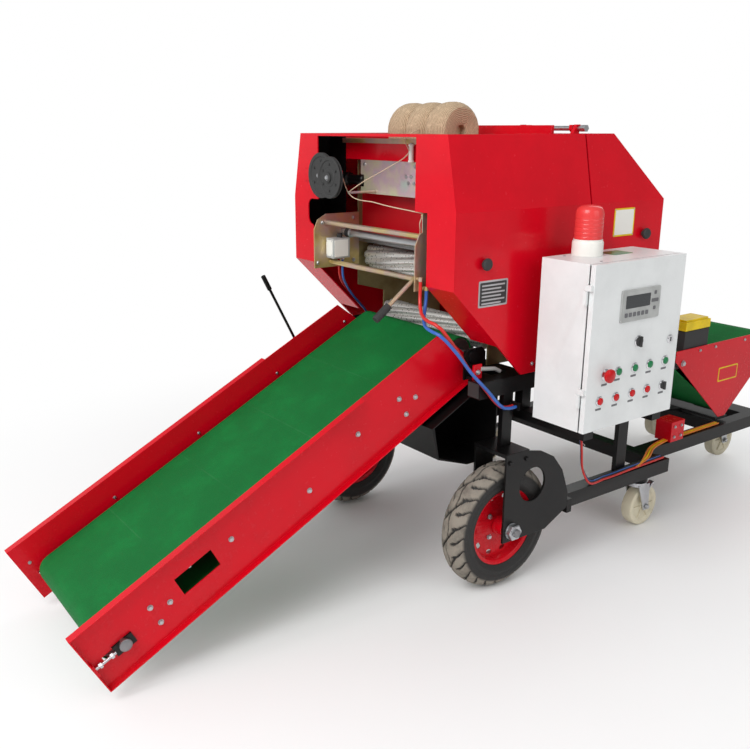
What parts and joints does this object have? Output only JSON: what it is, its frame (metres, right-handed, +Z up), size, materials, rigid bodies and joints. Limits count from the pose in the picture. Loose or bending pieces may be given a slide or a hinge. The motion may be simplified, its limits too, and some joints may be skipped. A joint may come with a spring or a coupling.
{
  "type": "round baler",
  "caption": "Compact silage round baler with a sloping feed conveyor, twine tray, control cabinet, transport wheels and a rotating bale-wrapping table.",
  "frame": {"origin": "middle of the machine's footprint box, on the ground", "axes": "+Z up; -Y towards the feed conveyor's low end, +Y towards the wrapping table; +X towards the control cabinet, parallel to the axle and all roller axes"},
  "size_m": [1.137, 2.9844, 1.4523],
  "materials": {
    "red_paint": "gloss red",
    "black_paint": "satin black",
    "white_paint": "white powder coat",
    "green_belt": "green conveyor belting",
    "yellow_zinc": "yellow zinc plated",
    "zinc": "zinc plated",
    "rubber": "tyre rubber",
    "twine": "jute twine",
    "nylon": "cream nylon",
    "black_plastic": "black plastic",
    "white_plastic": "white plastic",
    "red_lens": "red lens",
    "hose_red": "red air hose",
    "hose_blue": "blue air hose"
  },
  "bodies": {
    "chassis": {"beacon_base": "white_plastic", "beacon_lens": "red_lens", "cabinet_shell": "white_paint", "chamber_frame": "red_paint", "drive_box": "red_paint", "feed_frame": "yellow_zinc", "feed_tube": "zinc", "front_housing": "red_paint", "front_pan": "black_paint", "guide_roller": "white_plastic", "hand_lever": "black_paint", "head_bracket_l": "black_paint", "head_bracket_r": "black_paint", "hose_blue": "hose_blue", "hose_red": "hose_red", "main_frame": "black_paint", "tailgate_pin": "zinc", "twine_balls": "twine", "twine_crossbar": "yellow_zinc", "twine_plate": "yellow_zinc", "twine_pulley": "black_paint", "twine_tray": "red_paint", "valve_block": "zinc", "valve_hose_blue": "hose_blue", "valve_hose_red": "hose_red", "wheel_bracket_l": "black_paint", "wheel_bracket_r": "black_paint"},
    "conveyor": {"conveyor_belt": "green_belt", "conveyor_handle": "black_paint", "conveyor_side_l": "red_paint", "conveyor_side_r": "red_paint", "conveyor_tie_1": "black_paint", "conveyor_tie_2": "black_paint", "head_drum": "zinc", "tail_drum": "zinc"},
    "tailgate": {"tailgate_shell": "red_paint"},
    "door": {"cabinet_door": "white_paint"},
    "wheel_r": {"tyre_r": "rubber", "rim_r": "red_paint"},
    "fork_mid_r": {"caster_fork_mid_r": "zinc"},
    "roll_mid_r": {"caster_wheel_mid_r": "nylon"},
    "fork_rear_r": {"caster_fork_rear_r": "zinc"},
    "roll_rear_r": {"caster_wheel_rear_r": "nylon"},
    "wheel_l": {"tyre_l": "rubber", "rim_l": "red_paint"},
    "fork_mid_l": {"caster_fork_mid_l": "zinc"},
    "roll_mid_l": {"caster_wheel_mid_l": "nylon"},
    "fork_rear_l": {"caster_fork_rear_l": "zinc"},
    "roll_rear_l": {"caster_wheel_rear_l": "nylon"},
    "roller_front": {"feed_roller_front": "zinc"},
    "roller_lower": {"feed_roller_lower": "zinc"},
    "table": {"table_base": "black_paint", "table_belt": "green_belt", "table_motor_box": "black_plastic", "table_panel_l": "red_paint", "table_panel_r": "red_paint", "table_roller_front": "zinc", "table_roller_rear": "zinc"}
  },
  "joints": [
    {"name": "conveyor_lift", "type": "hinge", "parent": "chassis", "child": "conveyor", "pos_m": [-0.0885, -0.23134, 0.72136], "axis": [-1, 0, 0], "range_deg": [0, 25]},
    {"name": "tailgate_hinge", "type": "hinge", "parent": "chassis", "child": "tailgate", "pos_m": [-0.0885, 0.12624, 1.375], "axis": [1, 0, 0], "range_deg": [0, 65]},
    {"name": "cabinet_door_hinge", "type": "hinge", "parent": "chassis", "child": "door", "pos_m": [0.549, -0.14726, 0.794], "axis": [0, 0, -1], "range_deg": [0, 110]},
    {"name": "wheel_r_spin", "type": "hinge", "parent": "chassis", "child": "wheel_r", "pos_m": [0.3015, -0.19676, 0.2], "axis": [1, 0, 0], "continuous": true},
    {"name": "caster_mid_r_swivel", "type": "hinge", "parent": "chassis", "child": "fork_mid_r", "pos_m": [0.3005, 0.50324, 0.166], "axis": [0, 0, 1], "continuous": true},
    {"name": "caster_mid_r_spin", "type": "hinge", "parent": "fork_mid_r", "child": "roll_mid_r", "pos_m": [0.3005, 0.52924, 0.075], "axis": [1, 0, 0], "continuous": true},
    {"name": "caster_rear_r_swivel", "type": "hinge", "parent": "chassis", "child": "fork_rear_r", "pos_m": [0.0665, 1.36324, 0.166], "axis": [0, 0, 1], "continuous": true},
    {"name": "caster_rear_r_spin", "type": "hinge", "parent": "fork_rear_r", "child": "roll_rear_r", "pos_m": [0.0665, 1.38924, 0.075], "axis": [1, 0, 0], "continuous": true},
    {"name": "wheel_l_spin", "type": "hinge", "parent": "chassis", "child": "wheel_l", "pos_m": [-0.4785, -0.19676, 0.2], "axis": [1, 0, 0], "continuous": true},
    {"name": "caster_mid_l_swivel", "type": "hinge", "parent": "chassis", "child": "fork_mid_l", "pos_m": [-0.4775, 0.50324, 0.166], "axis": [0, 0, 1], "continuous": true},
    {"name": "caster_mid_l_spin", "type": "hinge", "parent": "fork_mid_l", "child": "roll_mid_l", "pos_m": [-0.4775, 0.52924, 0.075], "axis": [1, 0, 0], "continuous": true},
    {"name": "caster_rear_l_swivel", "type": "hinge", "parent": "chassis", "child": "fork_rear_l", "pos_m": [-0.2435, 1.36324, 0.166], "axis": [0, 0, 1], "continuous": true},
    {"name": "caster_rear_l_spin", "type": "hinge", "parent": "fork_rear_l", "child": "roll_rear_l", "pos_m": [-0.2435, 1.38924, 0.075], "axis": [1, 0, 0], "continuous": true},
    {"name": "roller_front_spin", "type": "hinge", "parent": "chassis", "child": "roller_front", "pos_m": [-0.0885, -0.19676, 0.957], "axis": [1, 0, 0], "continuous": true},
    {"name": "roller_lower_spin", "type": "hinge", "parent": "chassis", "child": "roller_lower", "pos_m": [-0.0885, -0.12176, 0.756], "axis": [1, 0, 0], "continuous": true},
    {"name": "table_turn", "type": "hinge", "parent": "chassis", "child": "table", "pos_m": [-0.0885, 1.14424, 0.25], "axis": [0, 0, 1], "continuous": true}
  ]
}
